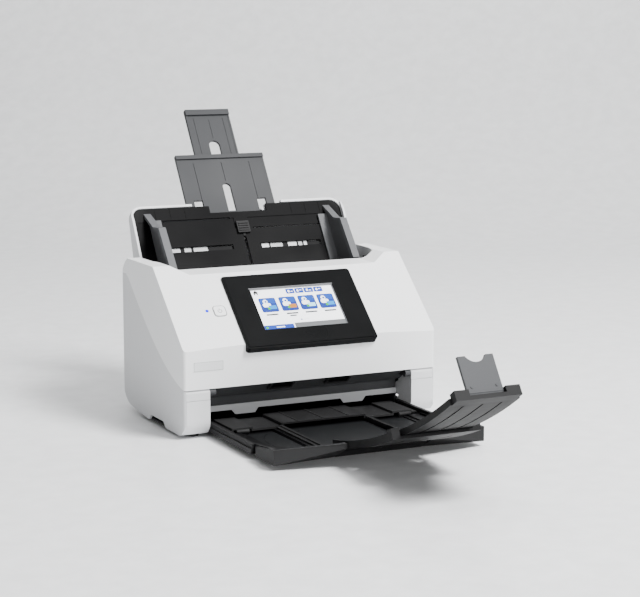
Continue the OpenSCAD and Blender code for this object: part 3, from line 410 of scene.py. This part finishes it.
def make_screen():
    # status row: house, four small keys
    hx, hu = on_screen(0.06, 0.075)
    half = [(0, 3.0), (3.3, -0.2), (2.3, -0.2), (2.3, -3.0), (0.7, -3.0), (0.7, -1.2)]
    house = [(hx + a, hu + b) for a, b in half] + [(hx - a, hu + b) for a, b in half[:0:-1]]
    screen_piece("screen_home_icon", "ink", [house], 1)
    keys = ((0.425, 0.525), (0.535, 0.635), (0.645, 0.755), (0.765, 0.87))
    screen_piece("screen_keys", "key_blue", [screen_box(a, 0.03, b, 0.15, 0.8) for a, b in keys], 1)
    marks = []
    for i, (a, b) in enumerate(keys):
        cx, cu = on_screen((a + b) / 2, 0.09)
        marks.append(round_box(cx - 1.6, cu, 2.2, 3.0, 0.4))
        marks.append(round_box(cx + 1.9, cu + (0.5 if i % 2 else -0.5), 2.6, 1.0, 0.3))
    screen_piece("screen_key_marks", "paper", marks, 2)
    # tiles
    tiles = [screen_box(s, 0.22, s + 0.2, 0.57, 2.0) for s in TILES]
    screen_piece("screen_tiles", "tile_blue", tiles, 1)
    gloss = [screen_box(s + 0.012, 0.235, s + 0.188, 0.36, 1.4) for s in TILES]
    screen_piece("screen_tile_gloss", "tile_light", gloss, 2)
    figures, faces, cards, discs = [], [], [], []
    for s in TILES:
        cx, cu = on_screen(s + 0.072, 0.355)
        figures.append(disc(cx, cu + 2.6, 3.0, 6))
        figures.append(round_box(cx + 0.6, cu - 2.2, 9.4, 5.4, 2.2))
        faces.append(disc(cx + 0.4, cu + 2.3, 1.3, 12))
        px, pu = on_screen(s + 0.138, 0.455)
        cards.append(round_box(px, pu, 9.0, 5.0, 0.5))
        discs.append(disc(px - 4.6, pu - 1.4, 1.6))
    screen_piece("screen_tile_figures", "paper", figures, 3)
    screen_piece("screen_tile_faces", "tile_blue", faces, 4)
    for i, look in enumerate(("cyan", "tan", "pale_cyan", "cyan")):
        screen_piece("screen_tile_card_%d" % i, look, [cards[i]], 4)
    screen_piece("screen_tile_discs", "leaf", discs, 5)
    # captions, page dots and foot bars
    captions = [screen_box(s + 0.03, 0.615, s + 0.17, 0.65, 0.5) for s in TILES]
    captions.append(screen_box(TILES[1] + 0.06, 0.675, TILES[1] + 0.14, 0.705, 0.5))
    screen_piece("screen_captions", "ink_soft", captions, 1)
    screen_piece("screen_page_dot", "tile_blue", [disc(*on_screen(0.478, 0.8), 1.0)], 1)
    dots = [disc(*on_screen(s, 0.8), 0.8) for s in (0.52, 0.555)]
    screen_piece("screen_page_dots", "bar_grey", dots, 1)
    screen_piece("screen_foot_blue", "key_blue", [screen_box(0.003, 0.885, 0.36, 0.995, 0.3)], 1)
    screen_piece("screen_foot_grey", "foot_grey", [screen_box(0.375, 0.87, 0.997, 0.995, 0.3)], 1)
    screen_piece("screen_foot_dot", "leaf", [disc(*on_screen(0.04, 0.94), 1.5)], 2)
    screen_piece("screen_foot_mark", "paper", [screen_box(0.15, 0.925, 0.25, 0.955, 0.4)], 2)

    def rim(bm):
        # sloped lip around the screen's opening: how far in from its edge, and how high
        profile = ((0.02, 4.46), (0.02, 3.13), (0.9, 3.13), (0.45, 3.7))
        loops = []
        for inset, v in profile:
            a, b = SCREEN_W / 2 - inset, SCREEN_L / 2 - inset
            loops.append([bm.verts.new(on_panel(SCREEN_X + sx * a, SCREEN_U + su * b, v))
                          for sx, su in ((-1, -1), (1, -1), (1, 1), (-1, 1))])
        for one, two in zip(loops, loops[1:] + loops[:1]):
            for i in range(4):
                j = (i + 1) % 4
                bm.faces.new((one[i], one[j], two[j], two[i]))
    make_piece("screen_rim", "cover", "rim", rim)

    def lip(bm):
        # painted highlight: a flat lighter bar on the bezel above the screen, for the lit upper edge
        # of its opening
        bar = round_box(SCREEN_X, SCREEN_U + SCREEN_L / 2 + 0.75, SCREEN_W + 2.4, 1.3, 0.5)
        prism(bm, bar, BEZEL_V + 0.003, BEZEL_V + 0.03, on_panel)
    make_piece("screen_upper_lip_highlight", "cover", "lip", lip)


BUTTON_X, BUTTON_U, BUTTON_V = -93.0, 4.9, 2.65
LAMP_X, LAMP_U = -106.7, 6.6
LABEL_X0, LABEL_X1, LABEL_Z0, LABEL_Z1 = -136.6, -104.4, 71.9, 81.1
LINE = 0.2      # width of the label's border


def make_marks():

    def power(bm):
        low, high = BUTTON_V + 0.003, BUTTON_V + 0.03
        ring(bm, BUTTON_X, BUTTON_U - 0.2, 1.9, 2.45, 125, 415, low, high, on_panel)
        prism(bm, round_box(BUTTON_X, BUTTON_U + 1.6, 0.55, 2.8, 0.2), low, high, on_panel)
    make_piece("power_symbol", "power_button", "ink_soft", power)

    def seam(bm):
        # painted shade: a grey ring on the cover around the button, wider than the real gap, for the
        # shade in it
        outer = round_box(BUTTON_X, BUTTON_U, 14.6, 14.6, 4.0)
        inner = round_box(BUTTON_X, BUTTON_U, 13.2, 13.2, 3.3)
        for i in range(len(outer)):
            j = (i + 1) % len(outer)
            prism(bm, [outer[i], outer[j], inner[j], inner[i]], GAP, 0.04, on_crown)
    make_piece("button_seam_shade", "cover", "seam", seam)

    def halo(bm):
        # painted glow: a glowing ring around the status lamp stands in for its light spreading on the
        # cover
        ring(bm, LAMP_X, LAMP_U, 1.34, 1.95, 0, 359.9, GAP, 0.03, on_crown)
    make_piece("lamp_glow_ring", "cover", "halo", halo)

    def frame_line(bm):
        # printed border of the blank label
        for x0, x1, z0, z1 in ((LABEL_X0, LABEL_X1, LABEL_Z1 - LINE, LABEL_Z1),
                               (LABEL_X0, LABEL_X1, LABEL_Z0, LABEL_Z0 + LINE),
                               (LABEL_X0, LABEL_X0 + LINE, LABEL_Z0, LABEL_Z1),
                               (LABEL_X1 - LINE, LABEL_X1, LABEL_Z0, LABEL_Z1)):
            prism(bm, [(x0, z0), (x1, z0), (x1, z1), (x0, z1)], 0.352, 0.362,
                  lambda x, z, h: at(x, -h, z))
    make_piece("label_border", "cover", "seam", frame_line)


TRAY_LEAN = math.radians(57)
TRAY_Y, TRAY_Z = 161, 160.6
WINDOW_U0, WINDOW_U1, WINDOW_V = 14.5, 20.5, -2.36


def on_tray(x, u, v):
    return at(x, TRAY_Y + u * math.cos(TRAY_LEAN) - v * math.sin(TRAY_LEAN),
              TRAY_Z + u * math.sin(TRAY_LEAN) + v * math.cos(TRAY_LEAN))


def make_windows():
    """What shows behind the two windows of the input tray: dull rollers, and dark strips of painted
    shade in the gaps.
    """
    def strips(spans, top):
        def build(bm):
            for x0, x1 in spans:
                outline = [(x0, WINDOW_U0), (x1, WINDOW_U0), (x1, WINDOW_U1), (x0, WINDOW_U1)]
                prism(bm, outline, WINDOW_V, top, on_tray)
        return build
    # painted shade: dark strips fill the gaps where only shadow shows behind the windows
    gaps = [(-81, -76), (-68, -65), (-48, -17.2), (17.2, 19), (28, 30), (45, 52), (63, 65),
            (70, 72), (76, 92.8)]
    make_piece("window_gaps", "base", "shade_black", strips(gaps, -2.2))
    dull = [(-92, -81), (-76, -68), (-65, -48), (30, 45), (65, 70)]
    make_piece("window_rollers", "base", "roller_dull", strips(dull, -2.26))


TRAY_FLOOR, FLOOR_TOP = 7.2, 7.32   # heights of the moulded floor and of the smooth one on it


def make_tray_floors():
    """Smoother, greyer floors of the pockets and of the arm's channel."""
    def pockets(bm):
        outline = [(61.0, -30.0), (92.6, -30.0), (92.6, -75.0)]
        outline += arc(56, -75, 36.6, range(-6, -80, -7))
        outline += [(61.0, -111.2)]
        for side in (-1, 1):
            prism(bm, [(side * x, y) for x, y in outline], TRAY_FLOOR, FLOOR_TOP, at)
    make_piece("pocket_floors", "drawer", "tray_floor", pockets)

    def channel(bm):
        outline = [(48.3, -27.0), (48.3, -80.0)]
        outline += arc(0, -81.4, 48.6, range(-6, -175, -8))
        outline += [(-48.3, -80.0), (-48.3, -27.0)]
        prism(bm, outline, TRAY_FLOOR, FLOOR_TOP, at)
    make_piece("channel_floor", "drawer", "tray_floor", channel)


# ------------------------------------------------------------------ stage
def make_stage():
    """A pale floor that sweeps up into a pale wall behind."""
    turn = Matrix.Rotation(-math.radians(CAMERA_YAW), 3, "Z")
    bend_y, bend = 1.5, 1.1
    profile = [(-4.0, 0.0), (-1.5, 0.0), (bend_y, 0.0)]
    profile += arc(bend_y, bend, bend, range(-84, 1, 6))
    profile += [(bend_y + bend, 4.5)]
    bm = bmesh.new()
    rows = [[bm.verts.new(turn @ Vector((x, y, z))) for x in (-5.0, 5.0)] for y, z in profile]
    for one, two in zip(rows, rows[1:]):
        bm.faces.new((one[0], one[1], two[1], two[0]))
    me = bpy.data.meshes.new("floor")
    bm.to_mesh(me)
    bm.free()
    for p in me.polygons:
        p.use_smooth = True
    floor = bpy.data.objects.new("floor", me)
    bpy.context.scene.collection.objects.link(floor)
    floor.data.materials.append(plastic("floor_pale", rgb(240, 241, 242), rough=0.42, grain=40,
                                        bump=0.0, vary=0.01))


def area(name, loc, target, size, power):
    data = bpy.data.lights.new(name, "AREA")
    data.shape = "RECTANGLE"
    data.size, data.size_y = size
    data.energy = power
    obj = bpy.data.objects.new(name, data)
    bpy.context.scene.collection.objects.link(obj)
    obj.location = loc
    obj.rotation_euler = (Vector(target) - Vector(loc)).to_track_quat("-Z", "Y").to_euler()


def make_lights():
    world = bpy.data.worlds.new("studio")
    bpy.context.scene.world = world
    world.use_nodes = True
    bg = world.node_tree.nodes["Background"]
    bg.inputs["Color"].default_value = (1, 1, 1, 1)
    bg.inputs["Strength"].default_value = 0.24
    mid = (0, 0, 0.12)
    area("key", (0.9, -1.25, 2.2), mid, (0.9, 0.9), 165)
    area("fill", (-1.9, -0.9, 0.7), mid, (1.2, 0.9), 5)
    area("front", (0.1, -2.3, 0.35), mid, (1.6, 0.5), 34)
    area("top", (0.0, 0.1, 2.2), mid, (1.4, 1.0), 12)
    area("back", (0.5, 0.9, 3.0), (1.1, 2.4, 0.7), (2.6, 0.8), 30)


make_camera()
dress_nodes()
make_screen()
make_marks()
make_windows()
make_tray_floors()
make_stage()
make_lights()
